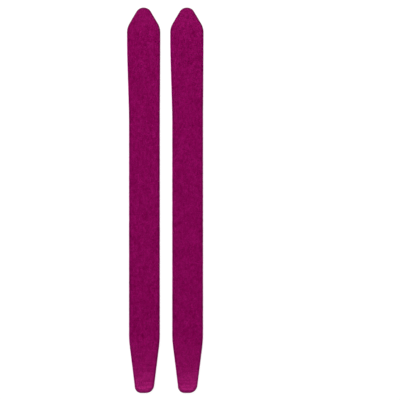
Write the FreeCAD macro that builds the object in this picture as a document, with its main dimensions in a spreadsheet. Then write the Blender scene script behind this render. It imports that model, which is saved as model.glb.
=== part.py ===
import FreeCAD, Part
import math
import os
import Sketcher

# A pair of self-adhesive skin inserts for cross-country skis, lying flat with the pile up.
# Frame: +Z up, +Y towards the tips, +X to the right seen from above. Origin: the middle of
# the pair's outline, on the surface that the release liners lie on. Millimetres.
#
# Each skin is a laminate cut to one outline. From the bottom up: a release liner in two
# pieces, ski adhesive, carrier film, upper adhesive, back coating, ground weave and pile.

DRIVING_SIZES = [
    # alias, value, meaning
    ("skin_length", 370.0, "tail end to nose"),
    ("waist_width", 29.6, "parallel middle of the strip"),
    ("flare_left", 1.9, "how far the left flank stands out at the shoulder"),
    ("flare_right", 0.4, "how far the right flank stands out at the shoulder"),
    ("flare_start", 103.0, "nose to where the flanks begin to widen"),
    ("flare_end", 41.0, "nose to where the flanks reach full width"),
    ("flare_radius", 600.0, "gentle bend at each end of the flare"),
    ("wedge_half_angle", 30.3, "each side of the tip against the strip's axis, degrees"),
    ("shoulder_radius", 16.0, "rounding between flank and wedge"),
    ("nose_radius", 8.1, "blunt round nose"),
    ("tail_taper", 50.6, "tail end to where the strip narrows"),
    ("tail_width", 17.0, "tail end before its corners are rounded"),
    ("tail_bend_radius", 80.0, "bend where the taper begins"),
    ("tail_left_radius", 6.2, "rounded left corner of the tail end"),
    ("tail_right_radius", 8.0, "rounder right corner, as the die cuts it"),
    ("pitch", 41.5, "between the axes of the two skins"),
    ("liner_thickness", 0.12, "siliconed paper"),
    ("liner_gap", 0.03, "air left by the liner's silicone face"),
    ("liner_split", 62.0, "nose to the cut across the liner"),
    ("slit_width", 0.3, "width of that cut"),
    ("ski_adhesive_thickness", 0.10, "lower glue layer of the tape"),
    ("carrier_thickness", 0.05, "film of the tape"),
    ("upper_adhesive_thickness", 0.08, "upper glue layer of the tape"),
    ("coating_thickness", 0.15, "waterproof back coating"),
    ("weave_thickness", 0.50, "woven ground cloth"),
    ("pile_height", 1.97, "cut nap, leaning to the tail"),
    ("pile_edge_radius", 0.5, "rounding of the nap along the cut edge"),
]

# The layers that cover the whole outline, from the liner up, with the cell of their thickness.
FULL_LAYERS = [
    ("ski_adhesive", "ski_adhesive_thickness"),
    ("carrier_film", "carrier_thickness"),
    ("upper_adhesive", "upper_adhesive_thickness"),
    ("back_coating", "coating_thickness"),
    ("ground_weave", "weave_thickness"),
    ("pile", "pile_height"),
]

# The side of the pair's middle that each skin lies on.
SIDES = {"left": -1, "right": 1}

SHOULDER_WIDTH = "(Sizes.waist_width + Sizes.flare_left + Sizes.flare_right)"
NOSE_X = "(Sizes.flare_right - Sizes.flare_left) / 2"
LEFT_SHOULDER_X = "-Sizes.waist_width / 2 - Sizes.flare_left"
RIGHT_SHOULDER_X = "Sizes.waist_width / 2 + Sizes.flare_right"
# The wedge's straight sides would meet this far beyond the round nose.
NOSE_OVERSHOOT = "Sizes.nose_radius * (1 / sin(Sizes.wedge_half_angle * 1 deg) - 1)"
APEX_Y = "Sizes.skin_length + " + NOSE_OVERSHOOT
SHOULDER_Y = APEX_Y + " - " + SHOULDER_WIDTH + " / 2 / tan(Sizes.wedge_half_angle * 1 deg)"
FLARE_START_Y = "Sizes.skin_length - Sizes.flare_start"
FLARE_END_Y = "Sizes.skin_length - Sizes.flare_end"

# The outline's sharp corners before rounding, anticlockwise from the tail end's left corner,
# in a skin's own frame: X across from the waist's middle, Y forward from the tail end.
OUTLINE_CORNERS = [
    # name, x, y, radius
    ("tail_left", "-Sizes.tail_width / 2", "0", "Sizes.tail_left_radius"),
    ("tail_right", "Sizes.tail_width / 2", "0", "Sizes.tail_right_radius"),
    ("bend_right", "Sizes.waist_width / 2", "Sizes.tail_taper", "Sizes.tail_bend_radius"),
    ("flare_start_right", "Sizes.waist_width / 2", FLARE_START_Y, "Sizes.flare_radius"),
    ("flare_end_right", RIGHT_SHOULDER_X, FLARE_END_Y, "Sizes.flare_radius"),
    ("shoulder_right", RIGHT_SHOULDER_X, SHOULDER_Y, "Sizes.shoulder_radius"),
    ("nose", NOSE_X, APEX_Y, "Sizes.nose_radius"),
    ("shoulder_left", LEFT_SHOULDER_X, SHOULDER_Y, "Sizes.shoulder_radius"),
    ("flare_end_left", LEFT_SHOULDER_X, FLARE_END_Y, "Sizes.flare_radius"),
    ("flare_start_left", "-Sizes.waist_width / 2", FLARE_START_Y, "Sizes.flare_radius"),
    ("bend_left", "-Sizes.waist_width / 2", "Sizes.tail_taper", "Sizes.tail_bend_radius"),
]

START, END = 1, 2
ORIGIN_POINT = (-1, 1)


def make_sheet(doc):
    """The spreadsheet of driving sizes: meaning, value with its alias."""
    sheet = doc.addObject("Spreadsheet::Sheet", "Sizes")
    for row, (alias, value, meaning) in enumerate(DRIVING_SIZES, start=1):
        sheet.set("A%d" % row, meaning)
        sheet.set("B%d" % row, str(value))
        sheet.setAlias("B%d" % row, alias)
    doc.recompute()
    return sheet


def evaluate(sheet, expression):
    """The number that an expression of the sheet's cells has now."""
    result = sheet.evalExpression(expression)
    return float(getattr(result, "Value", result))


def origin_plane(body, role):
    """One of the body's own origin planes."""
    for feature in body.Origin.OriginFeatures:
        if feature.Role == role:
            return feature
    raise LookupError(role)


def flat_sketch(body, name):
    """A sketch on the body's own XY plane."""
    sketch = body.newObject("Sketcher::SketchObject", name)
    sketch.AttachmentSupport = [(origin_plane(body, "XY_Plane"), "")]
    sketch.MapMode = "FlatFace"
    return sketch


def rounded_corner(before, corner, after, radius):
    """Where the rounding of a corner begins and ends, its centre, and +1 for a left turn."""
    arriving = (corner - before).normalize()
    leaving = (after - corner).normalize()
    turn = math.atan2(
        arriving.x * leaving.y - arriving.y * leaving.x,
        arriving.dot(leaving),
    )
    reach = radius * math.tan(abs(turn) / 2)
    side = math.copysign(1, turn)
    begin = corner - arriving * reach
    finish = corner + leaving * reach
    centre = begin + FreeCAD.Vector(-arriving.y, arriving.x, 0) * radius * side
    return begin, finish, centre, side


def arc_between(begin, finish, centre, side):
    """The anticlockwise arc that rounds a corner."""
    first, last = (begin, finish) if side > 0 else (finish, begin)
    start_angle = math.atan2(first.y - centre.y, first.x - centre.x)
    end_angle = math.atan2(last.y - centre.y, last.x - centre.x)
    if end_angle < start_angle:
        end_angle += 2 * math.pi
    circle = Part.Circle(centre, FreeCAD.Vector(0, 0, 1), (begin - centre).Length)
    return Part.ArcOfCircle(circle, start_angle, end_angle)


def bind(sketch, constraint, name, expression):
    """Adds a dimension to the sketch and ties it to the sheet."""
    index = sketch.addConstraint(constraint)
    sketch.renameConstraint(index, name)
    sketch.setExpression("Constraints." + name, expression)


def place_point(sketch, geometry, name, at, x_expression, y_expression):
    """Dimensions one point from the sketch's origin, whose distances carry a sign."""
    x_constraint = Sketcher.Constraint("DistanceX", *ORIGIN_POINT, geometry, START, at.x)
    bind(sketch, x_constraint, name + "_x", x_expression)
    if y_expression == "0":
        sketch.addConstraint(Sketcher.Constraint("PointOnObject", geometry, START, -1))
    else:
        y_constraint = Sketcher.Constraint("DistanceY", *ORIGIN_POINT, geometry, START, at.y)
        bind(sketch, y_constraint, name + "_y", y_expression)


def draw_outline(sheet, sketch):
    """The skin's outline: straight sides between rounded corners, fully dimensioned."""
    corners = [
        FreeCAD.Vector(evaluate(sheet, x), evaluate(sheet, y), 0)
        for _, x, y, _ in OUTLINE_CORNERS
    ]
    radii = [evaluate(sheet, radius) for _, _, _, radius in OUTLINE_CORNERS]
    count = len(corners)
    rounded = [
        rounded_corner(corners[i - 1], corners[i], corners[(i + 1) % count], radii[i])
        for i in range(count)
    ]
    # Geometry 2i is the rounding of corner i, and 2i + 1 the straight side that leaves it.
    for i in range(count):
        begin, finish, centre, side = rounded[i]
        next_begin = rounded[(i + 1) % count][0]
        sketch.addGeometry(arc_between(begin, finish, centre, side), False)
        sketch.addGeometry(Part.LineSegment(finish, next_begin), False)
    for i in range(count):
        arc, leaving, arriving = 2 * i, 2 * i + 1, (2 * i - 1) % (2 * count)
        turns_left = rounded[i][3] > 0
        arc_begin, arc_finish = (START, END) if turns_left else (END, START)
        sketch.addConstraint(Sketcher.Constraint("Tangent", arriving, END, arc, arc_begin))
        sketch.addConstraint(Sketcher.Constraint("Tangent", arc, arc_finish, leaving, START))
    for i, (name, x, y, radius) in enumerate(OUTLINE_CORNERS):
        bind(sketch, Sketcher.Constraint("Radius", 2 * i, radii[i]), name + "_radius", radius)
        point = sketch.addGeometry(Part.Point(corners[i]), True)
        sketch.addConstraint(
            Sketcher.Constraint("PointOnObject", point, START, (2 * i - 1) % (2 * count))
        )
        sketch.addConstraint(Sketcher.Constraint("PointOnObject", point, START, 2 * i + 1))
        place_point(sketch, point, name, corners[i], x, y)


def draw_rectangle(sheet, sketch, low_y, high_y):
    """A rectangle across the whole strip, from low_y to high_y."""
    sides = {"low_x": "-" + SHOULDER_WIDTH, "high_x": SHOULDER_WIDTH}
    low_x, high_x = (evaluate(sheet, sides[key]) for key in ("low_x", "high_x"))
    low, high = evaluate(sheet, low_y), evaluate(sheet, high_y)
    corners = [
        FreeCAD.Vector(low_x, low, 0),
        FreeCAD.Vector(high_x, low, 0),
        FreeCAD.Vector(high_x, high, 0),
        FreeCAD.Vector(low_x, high, 0),
    ]
    for i in range(4):
        sketch.addGeometry(Part.LineSegment(corners[i], corners[(i + 1) % 4]), False)
    for i in range(4):
        sketch.addConstraint(Sketcher.Constraint("Coincident", i, END, (i + 1) % 4, START))
    for i in (0, 2):
        sketch.addConstraint(Sketcher.Constraint("Horizontal", i))
        sketch.addConstraint(Sketcher.Constraint("Vertical", i + 1))
    for name, corner, expression in (("low_x", 0, sides["low_x"]), ("high_x", 2, sides["high_x"])):
        constraint = Sketcher.Constraint("DistanceX", *ORIGIN_POINT, corner, START, corners[corner].x)
        bind(sketch, constraint, name, expression)
    for name, corner, expression in (("low_y", 0, low_y), ("high_y", 2, high_y)):
        constraint = Sketcher.Constraint("DistanceY", *ORIGIN_POINT, corner, START, corners[corner].y)
        bind(sketch, constraint, name, expression)


def layer_body(doc, sheet, node, side, thickness, bottom=None):
    """One layer of a skin: the outline raised by its thickness, on the surface or at a height."""
    body = doc.addObject("PartDesign::Body", node)
    body.Label = node
    outline = flat_sketch(body, node + "_outline")
    draw_outline(sheet, outline)
    pad = body.newObject("PartDesign::Pad", node + "_pad")
    pad.Profile = outline
    pad.setExpression("Length", thickness)
    outline.Visibility = False
    centring = " + (Sizes.flare_left - Sizes.flare_right) / 2"
    body.setExpression("Placement.Base.x", "%d * Sizes.pitch / 2" % SIDES[side] + centring)
    body.setExpression("Placement.Base.y", "-Sizes.skin_length / 2")
    if bottom:
        body.setExpression("Placement.Base.z", bottom)
    doc.recompute()
    return body


def round_top_edge(doc, body, radius):
    """Rounds the whole upper edge of a layer."""
    base = body.Tip
    top = base.Shape.BoundBox.ZMax
    names = [
        "Edge%d" % (i + 1)
        for i, edge in enumerate(base.Shape.Edges)
        if abs(edge.BoundBox.ZMin - top) < 1e-6
    ]
    fillet = body.newObject("PartDesign::Fillet", body.Name + "_rounding")
    fillet.Base = (base, names)
    fillet.setExpression("Radius", radius)
    doc.recompute()


def cut_liner(doc, sheet, body, low_y, high_y):
    """Takes away the stretch of a liner that belongs to its other piece."""
    whole = body.Shape.Volume
    window = flat_sketch(body, body.Name + "_window")
    draw_rectangle(sheet, window, low_y, high_y)
    pocket = body.newObject("PartDesign::Pocket", body.Name + "_cut")
    pocket.Profile = window
    pocket.Type = "ThroughAll"
    pocket.Reversed = True
    window.Visibility = False
    doc.recompute()
    if body.Shape.Volume > 0.95 * whole:
        raise RuntimeError(body.Name + ": the cut took nothing away")


def make_liners(doc, sheet, side):
    """The release liner's two pieces, either side of the cut across it."""
    cut_y = "Sizes.skin_length - Sizes.liner_split"
    below, beyond = "-Sizes.tail_taper", "Sizes.skin_length + Sizes.tail_taper"
    front = layer_body(doc, sheet, side + "_liner_front", side, "Sizes.liner_thickness")
    cut_liner(doc, sheet, front, below, cut_y + " + Sizes.slit_width / 2")
    rear = layer_body(doc, sheet, side + "_liner_rear", side, "Sizes.liner_thickness")
    cut_liner(doc, sheet, rear, cut_y + " - Sizes.slit_width / 2", beyond)
    return [front, rear]


def make_skin(doc, sheet, side):
    """Every piece of one skin, stacked from the liner up to the pile."""
    bodies = make_liners(doc, sheet, side)
    bottom = "Sizes.liner_thickness + Sizes.liner_gap"
    for layer, thickness_cell in FULL_LAYERS:
        thickness = "Sizes." + thickness_cell
        body = layer_body(doc, sheet, side + "_" + layer, side, thickness, bottom)
        if layer == "pile":
            round_top_edge(doc, body, "Sizes.pile_edge_radius")
        bodies.append(body)
        bottom += " + " + thickness
    return bodies


def check(doc, bodies):
    """Stops if any object failed, or any piece isn't one valid solid."""
    for item in doc.Objects:
        if {"Invalid", "Error"} & set(item.State):
            raise RuntimeError("%s: %s" % (item.Label, item.State))
        if item.TypeId == "Sketcher::SketchObject" and item.solve() != 0:
            raise RuntimeError(item.Label + ": the sketch doesn't solve")
    for body in bodies:
        shape = body.Shape
        if shape.isNull() or not shape.isValid() or len(shape.Solids) != 1:
            raise RuntimeError(body.Label + ": not one valid solid")


def write_parts(bodies):
    """One STEP file for each piece, named after it."""
    os.makedirs("parts", exist_ok=True)
    for body in bodies:
        body.Shape.exportStep(os.path.join("parts", body.Label + ".step"))
        box = body.Shape.BoundBox
        print("%-22s volume %9.2f mm3  x %.2f..%.2f  y %.2f..%.2f  z %.3f..%.3f" % (
            body.Label, body.Shape.Volume, box.XMin, box.XMax, box.YMin, box.YMax, box.ZMin, box.ZMax
        ))


def main():
    doc = FreeCAD.newDocument("skin_inserts")
    sheet = make_sheet(doc)
    bodies = []
    for side in SIDES:
        bodies.extend(make_skin(doc, sheet, side))
    doc.recompute()
    check(doc, bodies)
    write_parts(bodies)


main()
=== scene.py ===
import math

import bpy
import numpy as np
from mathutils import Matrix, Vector, kdtree


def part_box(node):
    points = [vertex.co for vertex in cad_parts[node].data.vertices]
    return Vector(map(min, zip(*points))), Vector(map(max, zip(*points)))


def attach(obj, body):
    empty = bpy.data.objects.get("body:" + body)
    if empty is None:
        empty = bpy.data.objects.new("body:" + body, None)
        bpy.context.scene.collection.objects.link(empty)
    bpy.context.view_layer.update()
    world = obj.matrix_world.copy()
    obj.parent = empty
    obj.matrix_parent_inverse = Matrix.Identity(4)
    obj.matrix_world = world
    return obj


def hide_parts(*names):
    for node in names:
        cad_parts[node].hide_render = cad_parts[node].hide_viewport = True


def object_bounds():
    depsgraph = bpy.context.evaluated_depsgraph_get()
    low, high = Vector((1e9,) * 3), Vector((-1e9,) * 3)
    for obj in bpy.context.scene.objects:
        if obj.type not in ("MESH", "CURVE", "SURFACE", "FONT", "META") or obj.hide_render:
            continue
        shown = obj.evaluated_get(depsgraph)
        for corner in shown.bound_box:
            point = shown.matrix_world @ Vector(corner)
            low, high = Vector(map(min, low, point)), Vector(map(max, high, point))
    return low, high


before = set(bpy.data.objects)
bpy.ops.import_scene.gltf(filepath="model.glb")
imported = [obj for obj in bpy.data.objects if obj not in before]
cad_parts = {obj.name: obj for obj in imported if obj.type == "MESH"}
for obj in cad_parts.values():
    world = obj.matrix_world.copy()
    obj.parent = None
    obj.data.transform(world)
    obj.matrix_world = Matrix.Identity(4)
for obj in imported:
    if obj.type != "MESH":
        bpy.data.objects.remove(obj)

# The looks of a pair of plush skin inserts for cross-country skis, lying pile side up.
# Metres, in the row frame: +Z up, +Y towards the wedge tips, the nap leans towards -Y.

CAD_LOW, CAD_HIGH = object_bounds()
SIDES = ("left", "right")
MM = 0.001

# How the picture is framed, as shares of its height and width.
FRAME_FILL = 0.9645
FRAME_OFFSET = 0.0870
FRAME_RISE = 0.0007
LENS_MM = 180.0
SENSOR_MM = 36.0

FLOOR_SIZE = 40.0

# The cut edge: the nap stands back from the cloth that it grows from.
NAP_INSET = 0.60 * MM
OUTLINE_STEP = 0.2 * MM

# The nap: tufts on a jittered grid, each a bundle of fibres with three sides and a point.
TUFT_PITCH = 0.50 * MM
TUFT_JITTER = 0.36
TUFT_WIDTH = 0.43 * MM
TUFT_LEAN = 1.45 * MM
TUFT_SINK = 0.25 * MM
TIP_MARGIN = 0.30 * MM
TAIL_MARGIN = 0.70 * MM
ROOT_HEIGHT_SHARE = 0.50

# How thick a tuft is at its root and where it bends over, how far along its lean it bends, and
# how far its third side stands out against the other two.
ROOT_GIRTH = 0.80
BEND_GIRTH = 1.10
BEND_SHARE = 0.48
THIRD_SIDE = 0.75

# The painted shade along the cut edge, where the tufts shade one another: lighter at the tail,
# where the tips reach over it, and a narrow dark line of painted shade round the nose, where the
# nap leans away and bares its roots.
EDGE_SHADE = 1.9 * MM
TAIL_LIFT = 0.40
NOSE_SHADE = 1.8
NOSE_REACH = 0.8 * MM

# The nap's pieces: bands that meet at these heights above the tail, narrow where its tone
# changes fast, and the tufts darkened with painted shade along the cut edge, which are
# pieces of their own.
NAP_BREAKS = np.array((6, 12, 18, 25, 35, 50, 110, 175, 250, 335, 352)) * MM
RIM_SHADE = 0.40
RIM_BREAK = 12 * MM

# The mat of crossing fibres below the tufts, its grid drawn a little closer at the ends and sides.
MAT_COLUMNS = 44
MAT_ROWS = 470
COLUMN_EASE = 0.35
ROW_EASE = 0.15
MAT_RELIEF = 0.22

# The cut edge of the ground cloth, a hair proud of the layers below, its yarn ends uneven.
CLOTH_PROUD = 0.07 * MM
CLOTH_ROUND = 0.12 * MM
CLOTH_CAP_INSET = 2.0 * MM
YARN_PITCH = 0.70 * MM
YARN_FRAY = 0.05 * MM

LINER_BEVEL = 0.015 * MM

# The length after which a wave texture at scale 1 repeats.
WAVE_REPEAT = 0.314


# ---------------------------------------------------------------- camera, light and stage


def make_camera():
    """Looks straight down. The pair lies left of the picture's middle."""
    height = CAD_HIGH.y - CAD_LOW.y
    view = height / FRAME_FILL
    distance = view / 2 / (SENSOR_MM / 2 / LENS_MM)
    data = bpy.data.cameras.new("camera")
    data.lens = LENS_MM
    data.sensor_width = SENSOR_MM
    data.clip_start = 0.01
    data.clip_end = 100.0
    camera = bpy.data.objects.new("camera", data)
    middle = (CAD_LOW.y + CAD_HIGH.y) / 2
    camera.location = (FRAME_OFFSET * view, middle + FRAME_RISE * view, CAD_HIGH.z + distance)
    bpy.context.scene.collection.objects.link(camera)
    bpy.context.scene.camera = camera


def make_area_light(name, location, target, size, power):
    """A soft square light aimed at a point."""
    data = bpy.data.lights.new(name, "AREA")
    data.shape = "SQUARE"
    data.size = size
    data.energy = power
    light = bpy.data.objects.new(name, data)
    light.location = location
    light.rotation_mode = "QUATERNION"
    light.rotation_quaternion = (Vector(target) - Vector(location)).to_track_quat("-Z", "Y")
    bpy.context.scene.collection.objects.link(light)


def make_studio():
    """White surroundings, a broad key light from the left and a pale floor."""
    world = bpy.data.worlds.new("studio")
    world.use_nodes = True
    background = world.node_tree.nodes["Background"]
    background.inputs["Color"].default_value = (1.0, 1.0, 1.0, 1.0)
    background.inputs["Strength"].default_value = 1.0
    bpy.context.scene.world = world
    bpy.context.scene.view_settings.view_transform = "Standard"
    make_area_light("key", (-0.45, 0.75, 0.75), (0, 0, 0), 0.6, 9.0)

    mesh = bpy.data.meshes.new("floor")
    half = FLOOR_SIZE / 2
    below = CAD_LOW.z - 0.02 * MM
    corners = [(-half, -half, below), (half, -half, below), (half, half, below), (-half, half, below)]
    mesh.from_pydata(corners, [], [(0, 1, 2, 3)])
    floor = bpy.data.objects.new("floor", mesh)
    bpy.context.scene.collection.objects.link(floor)
    material = bpy.data.materials.new("floor")
    material.use_nodes = True
    shader = material.node_tree.nodes["Principled BSDF"]
    shader.inputs["Base Color"].default_value = (0.20, 0.20, 0.20, 1.0)
    shader.inputs["Emission Color"].default_value = (1.0, 1.0, 1.0, 1.0)
    shader.inputs["Emission Strength"].default_value = 0.80
    shader.inputs["Roughness"].default_value = 0.8
    shader.inputs["Specular IOR Level"].default_value = 0.1
    mesh.materials.append(material)


# ---------------------------------------------------------------- materials


class Material:
    """A Principled material whose colour and bump are built up from nodes in object space."""

    def __init__(self, name, **sockets):
        self.made = bpy.data.materials.new(name)
        self.made.use_nodes = True
        self.tree = self.made.node_tree
        self.shader = self.tree.nodes["Principled BSDF"]
        self.place = self.node("ShaderNodeTexCoord").outputs["Object"]
        for socket, value in sockets.items():
            self.shader.inputs[socket.replace("_", " ")].default_value = value

    def node(self, kind, **values):
        made = self.tree.nodes.new(kind)
        for key, value in values.items():
            setattr(made, key, value)
        return made

    def link(self, output, socket):
        self.tree.links.new(output, socket)

    def mapped(self, scale, rotation=0.0):
        """Object space stretched by scale, in repeats a metre, turned about Z."""
        mapping = self.node("ShaderNodeMapping")
        mapping.inputs["Scale"].default_value = scale
        mapping.inputs["Rotation"].default_value = (0.0, 0.0, rotation)
        self.link(self.place, mapping.inputs["Vector"])
        return mapping.outputs["Vector"]

    def noise(self, scale, detail=2.0, roughness=0.55):
        """Noise in object space; scale is a triple of repeats a metre."""
        noise = self.node("ShaderNodeTexNoise")
        noise.inputs["Scale"].default_value = 1.0
        noise.inputs["Detail"].default_value = detail
        noise.inputs["Roughness"].default_value = roughness
        self.link(self.mapped(scale), noise.inputs["Vector"])
        return noise.outputs["Fac"]

    def spread(self, value, low, high, to_low=0.0, to_high=1.0):
        """Maps low..high to to_low..to_high, clamped."""
        ranged = self.node("ShaderNodeMapRange")
        limits = {"From Min": low, "From Max": high, "To Min": to_low, "To Max": to_high}
        for socket, number in limits.items():
            ranged.inputs[socket].default_value = number
        self.link(value, ranged.inputs["Value"])
        return ranged.outputs["Result"]

    def blend_of(self, *parts):
        """The sum of outputs, each times its own share."""
        total = 0.0
        for share, output in parts:
            total = self.maths("ADD", total, self.maths("MULTIPLY", output, share))
        return total

    def axis(self, name):
        """One coordinate of object space."""
        split = self.node("ShaderNodeSeparateXYZ")
        self.link(self.place, split.inputs["Vector"])
        return split.outputs[name]

    def maths(self, operation, first, second):
        """Combines two values; each is an output or a number."""
        made = self.node("ShaderNodeMath", operation=operation)
        for value, socket in ((first, made.inputs[0]), (second, made.inputs[1])):
            if isinstance(value, (int, float)):
                socket.default_value = value
            else:
                self.link(value, socket)
        return made.outputs["Value"]

    def mix(self, factor, first, second, blend="MIX"):
        """Mixes two colours; each is an output or a triple."""
        made = self.node("ShaderNodeMix", data_type="RGBA", blend_type=blend)
        for value, socket in ((first, made.inputs[6]), (second, made.inputs[7])):
            if isinstance(value, tuple):
                socket.default_value = (*value, 1.0)
            else:
                self.link(value, socket)
        if isinstance(factor, (int, float)):
            made.inputs[0].default_value = factor
        else:
            self.link(factor, made.inputs[0])
        return made.outputs[2]

    def colour(self, output):
        self.link(output, self.shader.inputs["Base Color"])

    def roughness(self, output):
        self.link(output, self.shader.inputs["Roughness"])

    def bump(self, output, distance, strength=1.0):
        bump = self.node("ShaderNodeBump")
        bump.inputs["Distance"].default_value = distance
        bump.inputs["Strength"].default_value = strength
        self.link(output, bump.inputs["Height"])
        self.link(bump.outputs["Normal"], self.shader.inputs["Normal"])


NAP_DARK = (0.275, 0.0000, 0.094)
NAP_LIGHT = (0.462, 0.0084, 0.200)
# The colour of the painted sheen on the ends, where the nap bends over.
NAP_PAINTED_SHEEN = (0.72, 0.0290, 0.325)
# The colour of the painted shade mixed into the tufts along the cut edge.
NAP_PAINTED_SHADE = (0.062, 0.0012, 0.027)
# The painted shade of the matted roots between the tufts.
ROOT_PAINTED_SHADE = (0.110, 0.0010, 0.048)


def nap_material():
    """Cut fibres: a fine mottle, faint streaks, painted sheen on the ends, a slight painted shade towards
    the tail and painted shade along the cut edge.
    """
    made = Material("plush_nap", Roughness=0.85)
    made.shader.inputs["Specular IOR Level"].default_value = 0.01
    made.shader.inputs["Sheen Weight"].default_value = 0.08
    made.shader.inputs["Sheen Roughness"].default_value = 0.45
    made.shader.inputs["Sheen Tint"].default_value = (0.75, 0.01, 0.33, 1.0)
    tone = made.blend_of(
        (0.56, made.noise((700.0, 640.0, 200.0), detail=1.0)),
        (0.30, made.noise((340.0, 310.0, 100.0), detail=0.0)),
        (0.12, made.noise((130.0, 90.0, 50.0), detail=0.0)),
        (0.12, made.noise((430.0, 45.0, 100.0), detail=1.0)),
        # A slight painted shade towards the tail, where less of the key light falls.
        (-0.015, made.spread(made.axis("Y"), CAD_LOW.y + 175 * MM, CAD_LOW.y + 115 * MM)),
    )
    colour = made.mix(made.spread(tone, 0.34, 0.75), NAP_DARK, NAP_LIGHT)
    along = made.axis("Y")
    # Painted sheen towards both ends, where the nap bends over, in faint crosswise streaks.
    ends = made.blend_of(
        (0.14, made.spread(along, CAD_LOW.y + 55 * MM, CAD_LOW.y + 28 * MM)),
        (0.24, made.spread(along, CAD_LOW.y + 24 * MM, CAD_LOW.y + 13 * MM)),
        (0.34, made.spread(along, CAD_LOW.y + 8 * MM, CAD_LOW.y + 5 * MM)),
        (0.13, made.spread(along, CAD_HIGH.y - 30 * MM, CAD_HIGH.y - 9 * MM)),
    )
    bands = made.spread(made.noise((40.0, 520.0, 40.0), detail=1.0), 0.35, 0.65, 0.6, 1.4)
    colour = made.mix(made.maths("MULTIPLY", ends, bands), colour, NAP_PAINTED_SHEEN)
    # Painted shade along the cut edge, carried by the tufts' edge attribute.
    edge = made.node("ShaderNodeAttribute", attribute_name="edge").outputs["Fac"]
    made.colour(made.mix(made.spread(edge, 0.0, 1.0, 0.0, 0.85), colour, NAP_PAINTED_SHADE))
    return made.made


def mat_material():
    """The matted fibres between the tufts, painted dark with the shade that falls between them."""
    made = Material("plush_roots", Roughness=0.95)
    made.shader.inputs["Specular IOR Level"].default_value = 0.02
    strands = made.noise((1800.0, 260.0, 600.0), detail=3.0)
    made.colour(made.mix(made.spread(strands, 0.35, 0.7), ROOT_PAINTED_SHADE, NAP_DARK))
    made.bump(strands, 0.15 * MM)
    return made.made


def cloth_material():
    """Plain-woven ground cloth: bright dyed yarn ends, darker round the tail and nose."""
    made = Material("ground_cloth", Roughness=0.9)
    made.shader.inputs["Specular IOR Level"].default_value = 0.05
    warp = made.node("ShaderNodeTexWave", bands_direction="X", wave_profile="SIN")
    weft = made.node("ShaderNodeTexWave", bands_direction="Y", wave_profile="SIN")
    for wave in (warp, weft):
        wave.inputs["Scale"].default_value = 1.0
        wave.inputs["Distortion"].default_value = 0.6
        made.link(made.mapped((WAVE_REPEAT / YARN_PITCH,) * 3), wave.inputs["Vector"])
    weave = made.maths("MULTIPLY", warp.outputs["Fac"], weft.outputs["Fac"])
    fuzz = made.noise((2400.0, 2400.0, 2400.0))
    tone = made.maths("ADD", made.maths("MULTIPLY", weave, 0.6), made.maths("MULTIPLY", fuzz, 0.4))
    flank = made.mix(tone, (0.26, 0.0010, 0.140), (0.46, 0.0040, 0.260))
    # The cloth darker round the tail, and darker still round the nose.
    cloth_darker_tail = made.mix(tone, (0.150, 0.0016, 0.082), (0.320, 0.0034, 0.180))
    cloth_darker_nose = made.mix(tone, (0.085, 0.0012, 0.036), (0.190, 0.0028, 0.085))
    along = made.axis("Y")
    tail = made.spread(along, CAD_LOW.y + 7 * MM, CAD_LOW.y + 3 * MM)
    nose = made.spread(along, CAD_HIGH.y - 32 * MM, CAD_HIGH.y - 20 * MM)
    made.colour(made.mix(nose, made.mix(tail, flank, cloth_darker_tail), cloth_darker_nose))
    made.bump(tone, 0.12 * MM)
    return made.made


def coating_material():
    """Black waterproof coating with a faint weave showing through."""
    made = Material("back_coating", Roughness=0.55)
    grain = made.noise((900.0, 900.0, 900.0), detail=3.0)
    made.colour(made.mix(grain, (0.018, 0.016, 0.018), (0.05, 0.046, 0.05)))
    made.roughness(made.spread(grain, 0.3, 0.7, 0.42, 0.68))
    made.bump(grain, 0.05 * MM)
    return made.made


def adhesive_material(name, pale, deep):
    """Tacky glue with slow ripples and fine trapped bubbles."""
    made = Material(name, Roughness=0.25)
    made.shader.inputs["Coat Weight"].default_value = 0.35
    made.shader.inputs["Coat Roughness"].default_value = 0.2
    ripples = made.noise((60.0, 14.0, 60.0), detail=2.0)
    bubbles = made.node("ShaderNodeTexVoronoi", feature="F1")
    bubbles.inputs["Scale"].default_value = 1.0
    made.link(made.mapped((520.0, 520.0, 520.0)), bubbles.inputs["Vector"])
    spots = made.spread(bubbles.outputs["Distance"], 0.10, 0.32)
    made.colour(made.mix(ripples, made.mix(spots, pale, deep), deep))
    made.roughness(made.spread(ripples, 0.3, 0.7, 0.16, 0.34))
    height = made.maths("ADD", ripples, made.maths("MULTIPLY", spots, 0.35))
    made.bump(height, 0.06 * MM)
    return made.made


def film_material():
    """Clear plastic film, seen as a pale glossy edge."""
    made = Material("carrier_film", Roughness=0.2)
    drawn = made.noise((40.0, 4.0, 40.0), detail=2.0)
    made.colour(made.mix(drawn, (0.50, 0.51, 0.52), (0.66, 0.67, 0.66)))
    made.roughness(made.spread(drawn, 0.3, 0.7, 0.12, 0.26))
    return made.made


def liner_outer_material():
    """Siliconed paper, embossed with crossing lines, seen from below."""
    made = Material("liner_outer", Roughness=0.5)
    fibres = made.noise((700.0, 260.0, 700.0), detail=4.0)
    ridges = []
    for turn in (math.radians(45), math.radians(-45)):
        wave = made.node("ShaderNodeTexWave", bands_direction="X", wave_profile="SIN")
        wave.inputs["Scale"].default_value = 1.0
        made.link(made.mapped((62.0, 62.0, 62.0), turn), wave.inputs["Vector"])
        ridges.append(made.spread(wave.outputs["Fac"], 0.86, 0.99))
    lattice = made.maths("MAXIMUM", ridges[0], ridges[1])
    paper = made.mix(made.spread(fibres, 0.35, 0.68), (0.35, 0.325, 0.27), (0.47, 0.44, 0.375))
    made.colour(made.mix(made.maths("MULTIPLY", lattice, 0.35), paper, (0.24, 0.26, 0.27)))
    made.roughness(made.spread(fibres, 0.3, 0.7, 0.42, 0.62))
    made.bump(made.maths("ADD", made.maths("MULTIPLY", fibres, 0.4), lattice), 0.05 * MM)
    return made.made


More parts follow.
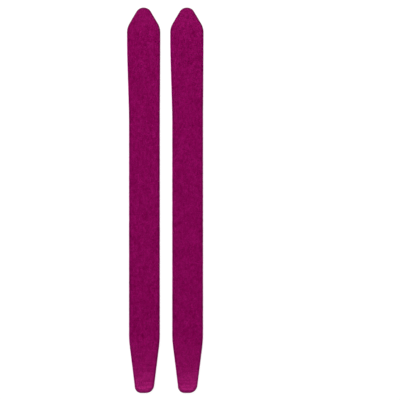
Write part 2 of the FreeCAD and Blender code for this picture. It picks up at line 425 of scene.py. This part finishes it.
def liner_inner_material():
    """The liner's silicone face: tan glassine under a gloss that the glue can't grip."""
    made = Material("liner_inner", Roughness=0.22)
    made.shader.inputs["Coat Weight"].default_value = 0.5
    made.shader.inputs["Coat Roughness"].default_value = 0.12
    fibres = made.noise((500.0, 180.0, 500.0), detail=4.0)
    clouds = made.noise((45.0, 18.0, 45.0), detail=3.0)
    tone = made.maths("ADD", made.maths("MULTIPLY", fibres, 0.5), made.maths("MULTIPLY", clouds, 0.5))
    made.colour(made.mix(made.spread(tone, 0.36, 0.66), (0.33, 0.255, 0.140), (0.47, 0.385, 0.235)))
    made.roughness(made.spread(clouds, 0.3, 0.7, 0.16, 0.32))
    made.bump(fibres, 0.03 * MM)
    return made.made


# ---------------------------------------------------------------- outlines


def bottom_loop(node):
    """The closed outline of a flat CAD layer, anticlockwise, as an array of x and y."""
    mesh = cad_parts[node].data
    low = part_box(node)[0].z
    keys, uses = {}, {}
    for face in mesh.polygons:
        if face.normal.z > -0.99:
            continue
        ring = [tuple(round(c / (0.001 * MM)) for c in mesh.vertices[v].co[:2]) for v in face.vertices]
        for v, key in zip(face.vertices, ring):
            keys[key] = mesh.vertices[v].co[:2]
        for a, b in zip(ring, ring[1:] + ring[:1]):
            uses[(a, b)] = uses.get((a, b), 0) + 1
    if not uses:
        raise RuntimeError(f"{node} has no flat face at {low}")
    follows = {a: b for a, b in uses if (b, a) not in uses}
    start = min(follows)
    loop, at = [start], follows[start]
    while at != start:
        loop.append(at)
        at = follows[at]
    points = np.array([keys[k] for k in loop], float)
    after = np.roll(points, -1, axis=0)
    area = (points[:, 0] * after[:, 1] - points[:, 1] * after[:, 0]).sum() / 2
    return points if area > 0 else points[::-1]


class Outline:
    """A closed outline at even steps, with outward normals and the flanks as functions of y."""

    def __init__(self, loop):
        closed = np.vstack([loop, loop[:1]])
        lengths = np.r_[0.0, np.cumsum(np.linalg.norm(np.diff(closed, axis=0), axis=1))]
        perimeter = lengths[-1]
        count = int(round(perimeter / OUTLINE_STEP))
        self.arc = np.arange(count) * perimeter / count
        self.points = np.stack([np.interp(self.arc, lengths, closed[:, k]) for k in (0, 1)], axis=1)
        tangent = np.roll(self.points, -1, axis=0) - np.roll(self.points, 1, axis=0)
        tangent /= np.linalg.norm(tangent, axis=1)[:, None]
        self.normals = np.stack([tangent[:, 1], -tangent[:, 0]], axis=1)
        after = np.roll(loop, -1, axis=0)
        self.area = abs((loop[:, 0] * after[:, 1] - loop[:, 1] * after[:, 0]).sum() / 2)
        self.tree = kdtree.KDTree(count)
        for i, (x, y) in enumerate(self.points):
            self.tree.insert((x, y, 0.0), i)
        self.tree.balance()
        self.low = self.points.min(axis=0)
        self.high = self.points.max(axis=0)
        self.middle_x = self.points[self.points[:, 1].argmax(), 0]

    def inside(self, points):
        """How far each point lies inside the outline, negative outside, and the outward normal there."""
        found = np.array([self.tree.find((x, y, 0.0))[1] for x, y in points])
        normals = self.normals[found]
        depth = -((points - self.points[found]) * normals).sum(axis=1)
        return depth, normals

    def flank(self, y, side):
        """x of the left (-1) or right (+1) flank at each y."""
        tail = self.points[self.points[:, 1].argmin()]
        chosen = self.points[(self.points[:, 0] - np.interp(
            self.points[:, 1], [tail[1], self.high[1]], [tail[0], self.middle_x])) * side >= 0]
        chosen = chosen[chosen[:, 1].argsort()]
        return np.interp(y, chosen[:, 1], chosen[:, 0])

    def offset(self, reach):
        """The outline moved outwards, by one distance or by one for each point."""
        return self.points + self.normals * np.reshape(reach, (-1, 1))


def smooth_noise(points, cells, seed):
    """Smooth values from -1 to 1 over the plane; cells is the x and y size of one wave."""
    random = np.random.default_rng(seed)
    table = random.uniform(-1, 1, (256, 256))
    at = points / np.array(cells)
    whole = np.floor(at).astype(int)
    part = at - whole
    part = part * part * (3 - 2 * part)
    x0, y0 = whole[:, 0] % 256, whole[:, 1] % 256
    x1, y1 = (x0 + 1) % 256, (y0 + 1) % 256
    low = table[x0, y0] * (1 - part[:, 0]) + table[x1, y0] * part[:, 0]
    high = table[x0, y1] * (1 - part[:, 0]) + table[x1, y1] * part[:, 0]
    return low * (1 - part[:, 1]) + high * part[:, 1]


def make_piece(name, vertices, faces, materials, smooth=True):
    """A mesh object from arrays: faces is a list of index arrays, one for each number of corners."""
    mesh = bpy.data.meshes.new(name)
    totals = np.concatenate([np.full(len(f), f.shape[1]) for f in faces])
    corners = np.concatenate([f.ravel() for f in faces])
    mesh.vertices.add(len(vertices))
    mesh.vertices.foreach_set("co", np.asarray(vertices, np.float32).ravel())
    mesh.loops.add(len(corners))
    mesh.loops.foreach_set("vertex_index", corners.astype(np.int32))
    mesh.polygons.add(len(totals))
    mesh.polygons.foreach_set("loop_start", np.r_[0, np.cumsum(totals)[:-1]].astype(np.int32))
    mesh.polygons.foreach_set("loop_total", totals.astype(np.int32))
    mesh.update(calc_edges=True)
    mesh.validate()
    mesh.polygons.foreach_set("use_smooth", np.full(len(mesh.polygons), smooth))
    for material in materials:
        mesh.materials.append(material)
    piece = bpy.data.objects.new(name, mesh)
    bpy.context.scene.collection.objects.link(piece)
    return piece


def ring_faces(rings, count):
    """Quads between consecutive rings of count points, first ring lowest, seen from outside."""
    index = np.arange(count)
    after = (index + 1) % count
    faces = []
    for ring in range(rings - 1):
        low, high = ring * count, (ring + 1) * count
        faces.append(np.stack([low + index, low + after, high + after, high + index], axis=1))
    return np.vstack(faces)


# ---------------------------------------------------------------- the nap


def nap_height(depth, root_z, top_z):
    """The nap's upper surface: full height inside, rounded off over the last millimetre."""
    share = np.clip(depth / (1.0 * MM), 0, 1)
    return root_z + (top_z - root_z) * np.sqrt(1 - (1 - share) ** 2) ** 0.8


def eased(count, ease):
    """Shares from 0 to 1, drawn closer together towards both ends."""
    even = np.linspace(0, 1, count)
    return (1 - ease) * even + ease * (0.5 - 0.5 * np.cos(math.pi * even))


def make_mat(side, outline, root_z, top_z, material):
    """The closed mat of matted fibres that fills the nap up to half its height."""
    edge = Outline(outline.offset(-NAP_INSET))
    y = edge.low[1] + (edge.high[1] - edge.low[1]) * eased(MAT_ROWS, ROW_EASE)[1:-1]
    share = eased(MAT_COLUMNS, COLUMN_EASE)
    left, right = edge.flank(y, -1), edge.flank(y, 1)
    x = left[:, None] + (right - left)[:, None] * share[None, :]
    grid = np.stack([x, np.repeat(y[:, None], MAT_COLUMNS, axis=1)], axis=2).reshape(-1, 2)
    depth, _ = edge.inside(grid)
    top = nap_height(depth, 0.0, (top_z - root_z) * ROOT_HEIGHT_SHARE)
    strands = smooth_noise(grid, (0.9 * MM, 3.2 * MM), 11)
    knots = smooth_noise(grid, (0.7 * MM, 1.1 * MM), 12)
    relief = 0.5 * strands + 0.5 * knots
    z = root_z + top * (1 + MAT_RELIEF * relief)
    ny = len(y)
    index = np.arange(ny * MAT_COLUMNS).reshape(ny, MAT_COLUMNS)
    rim = np.concatenate([index[0, :], index[1:, -1], index[-1, -2::-1], index[-2:0:-1, 0]])
    z[rim] = root_z + 0.02 * MM
    vertices = np.column_stack([grid, z])
    quads = np.stack([index[:-1, :-1], index[:-1, 1:], index[1:, 1:], index[1:, :-1]], axis=2).reshape(-1, 4)
    count = len(vertices)
    below = vertices[rim].copy()
    below[:, 2] = root_z - TUFT_SINK
    vertices = np.vstack([vertices, below])
    low_ring = count + np.arange(len(rim))
    walls = np.stack([rim, low_ring, np.roll(low_ring, -1), np.roll(rim, -1)], axis=1)
    return make_piece(
        f"{side}_nap_mat", vertices, [quads, walls, low_ring[::-1][None, :]], [material]
    )


def tuft_roots(outline, seed):
    """Where the tufts stand: a jittered grid inside the cut edge."""
    random = np.random.default_rng(seed)
    xs = np.arange(outline.low[0], outline.high[0], TUFT_PITCH)
    ys = np.arange(outline.low[1], outline.high[1], TUFT_PITCH)
    grid = np.stack(np.meshgrid(xs, ys, indexing="ij"), axis=2).reshape(-1, 2)
    grid += random.uniform(-TUFT_JITTER, TUFT_JITTER, grid.shape) * TUFT_PITCH
    depth, normals = outline.inside(grid)
    keep = depth > NAP_INSET
    return grid[keep], depth[keep] - NAP_INSET, normals[keep], random


def make_tufts(side, outline, root_z, top_z, material, seed):
    """The nap's tufts, as one piece for each band and two for the cut edge."""
    roots, depth, normals, random = tuft_roots(outline, seed)
    count = len(roots)
    top = nap_height(depth + 0.25 * MM, root_z, top_z)
    patches = smooth_noise(roots, (2.6 * MM, 5.0 * MM), seed + 1)
    ridges = smooth_noise(roots, (1.3 * MM, 14.0 * MM), seed + 2)
    top += (0.13 * patches + 0.12 * ridges + random.uniform(-0.16, 0.06, count)) * MM
    swirl = smooth_noise(roots, (7.0 * MM, 18.0 * MM), seed + 3)
    clump = smooth_noise(roots, (1.5 * MM, 6.0 * MM), seed + 4)
    lean = np.stack([
        (0.22 * swirl + 0.20 * clump + random.uniform(-0.22, 0.22, count)) * MM,
        -TUFT_LEAN * random.uniform(0.75, 1.2, count),
    ], axis=1)
    tips = roots + lean
    tip_depth, tip_normals = outline.inside(tips)
    margin = TIP_MARGIN + TAIL_MARGIN * np.clip(-tip_normals[:, 1], 0, 1)
    excess = np.clip(margin - tip_depth, 0, None)
    tips -= tip_normals * excess[:, None]
    lean = tips - roots
    middle = roots + lean * BEND_SHARE
    middle_z = root_z + (top - root_z) * random.uniform(0.66, 0.78, count)

    width = TUFT_WIDTH * random.uniform(0.8, 1.25, count)
    turn = random.uniform(-0.5, 0.5, count)
    stages = [
        (roots, np.full(count, root_z - TUFT_SINK), ROOT_GIRTH),
        (middle, middle_z, BEND_GIRTH),
    ]
    sides = ((math.radians(210), 1.0), (math.radians(330), 1.0), (math.radians(90), THIRD_SIDE))
    vertices = []
    for centre, height, share in stages:
        for corner, stretch in sides:
            angle = corner + turn
            reach = 0.5 * width * share * stretch
            vertices.append(np.column_stack([
                centre[:, 0] + reach * np.cos(angle),
                centre[:, 1] + reach * np.sin(angle),
                height,
            ]))
    vertices.append(np.column_stack([tips, top]))
    corners = len(vertices)
    vertices = np.stack(vertices, axis=1)
    walls = np.array([(0, 1, 4, 3), (1, 2, 5, 4), (2, 0, 3, 5)])
    ends = np.array([(2, 1, 0), (3, 4, 6), (4, 5, 6), (5, 3, 6)])
    # How much painted shade each tuft takes along the cut edge: less at the tail, more in a narrow line
    # round the nose.
    edge = np.clip(1 - (tip_depth + excess - margin) / EDGE_SHADE, 0, 1)
    edge *= 1 - TAIL_LIFT * np.clip(-tip_normals[:, 1], 0, 1)
    faces_nose = np.clip(NOSE_SHADE * normals[:, 1], 0, 1)
    edge = np.maximum(edge, faces_nose * np.clip(1 - depth / NOSE_REACH, 0, 1))
    above_tail = roots[:, 1] - CAD_LOW.y
    band = np.searchsorted(NAP_BREAKS, above_tail)
    rim = edge > RIM_SHADE
    groups = {f"band_{number + 1}": (band == number) & ~rim for number in range(len(NAP_BREAKS) + 1)}
    groups["rim_tail"] = rim & (above_tail < RIM_BREAK)
    groups["rim_flanks"] = rim & (above_tail >= RIM_BREAK)
    pieces = []
    for name, chosen in groups.items():
        some = vertices[chosen]
        base = (np.arange(len(some)) * corners)[:, None, None]
        quads = (base + walls).reshape(-1, 4)
        triangles = (base + ends).reshape(-1, 3)
        piece = make_piece(f"{side}_nap_{name}", some.reshape(-1, 3), [quads, triangles], [material])
        shade = piece.data.attributes.new("edge", "FLOAT", "POINT")
        shade.data.foreach_set("value", np.repeat(edge[chosen], corners).astype(np.float32))
        pieces.append(piece)
    return pieces


# ---------------------------------------------------------------- cloth and liners


def slab(outline, stages):
    """A closed slab: a ring of the outline for each reach and height, lowest first, and two caps."""
    count = len(outline.points)
    rings = [np.column_stack([outline.offset(reach), np.full(count, z)]) for reach, z in stages]
    caps = np.vstack([np.arange(count)[::-1], (len(stages) - 1) * count + np.arange(count)])
    return np.vstack(rings), [ring_faces(len(stages), count), caps]


def make_cloth(side, outline, material):
    """The ground weave: a thin slab whose cut edge shows the ends of its yarns."""
    low, high = (corner.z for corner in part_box(f"{side}_ground_weave"))
    yarns = np.cos(outline.arc * math.tau / YARN_PITCH)
    drift = smooth_noise(np.column_stack([outline.arc, outline.arc * 0]), (2.0 * MM, 1.0), 5)
    fray = YARN_FRAY * (yarns + drift)
    shoulder = CLOTH_PROUD - 0.1 * MM
    stages = [
        (-CLOTH_CAP_INSET, low), (shoulder + fray, low), (CLOTH_PROUD + fray, low + CLOTH_ROUND),
        (CLOTH_PROUD + fray, high - CLOTH_ROUND), (shoulder + fray, high), (-CLOTH_CAP_INSET, high),
    ]
    vertices, faces = slab(outline, stages)
    return make_piece(f"{side}_ground_cloth", vertices, faces, [material])


def make_liner(side, part, outer, inner):
    """One piece of the release liner, a slab of paper with crisp cut edges."""
    node = f"{side}_liner_{part}"
    low, high = (corner.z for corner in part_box(node))
    outline = Outline(bottom_loop(node))
    stages = [
        (-LINER_BEVEL, low), (0.0, low + LINER_BEVEL),
        (0.0, high - LINER_BEVEL), (-LINER_BEVEL, high),
    ]
    vertices, faces = slab(outline, stages)
    piece = make_piece(f"{side}_release_{part}", vertices, faces, [outer, inner], smooth=False)
    piece.data.polygons[len(piece.data.polygons) - 1].material_index = 1
    return piece, outline


# ---------------------------------------------------------------- assembly


def paint(node, material):
    """Gives a CAD node its material."""
    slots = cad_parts[node].data.materials
    slots.clear()
    slots.append(material)


def make_skin(side, looks, seed):
    """Every visible piece of one skin."""
    body = f"{side}_skin"
    weave_low, weave_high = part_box(f"{side}_ground_weave")
    top_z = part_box(f"{side}_pile")[1].z
    outline = Outline(bottom_loop(f"{side}_ground_weave"))

    nap = [make_mat(side, outline, weave_high.z, top_z, looks["mat"])]
    nap += make_tufts(side, outline, weave_high.z, top_z, looks["nap"], seed)
    for piece in nap:
        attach(piece, body)
        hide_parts(f"{side}_pile")

    cloth = make_cloth(side, outline, looks["cloth"])
    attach(cloth, body)
    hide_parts(f"{side}_ground_weave")

    for layer in ("back_coating", "upper_adhesive", "carrier_film", "ski_adhesive"):
        paint(f"{side}_{layer}", looks[layer])

    for part in ("front", "rear"):
        liner, cut = make_liner(side, part, looks["liner_outer"], looks["liner_inner"])
        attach(liner, f"{side}_{part}_liner")
        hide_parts(f"{side}_liner_{part}")


def make_looks():
    """Every material, by the piece that wears it."""
    return {
        "nap": nap_material(),
        "mat": mat_material(),
        "cloth": cloth_material(),
        "back_coating": coating_material(),
        "upper_adhesive": adhesive_material("upper_adhesive", (0.56, 0.50, 0.36), (0.44, 0.38, 0.25)),
        "carrier_film": film_material(),
        "ski_adhesive": adhesive_material("ski_adhesive", (0.60, 0.54, 0.40), (0.48, 0.41, 0.27)),
        "liner_outer": liner_outer_material(),
        "liner_inner": liner_inner_material(),
    }


make_camera()
make_studio()
all_looks = make_looks()
for number, skin in enumerate(SIDES):
    make_skin(skin, all_looks, 100 * (number + 1))
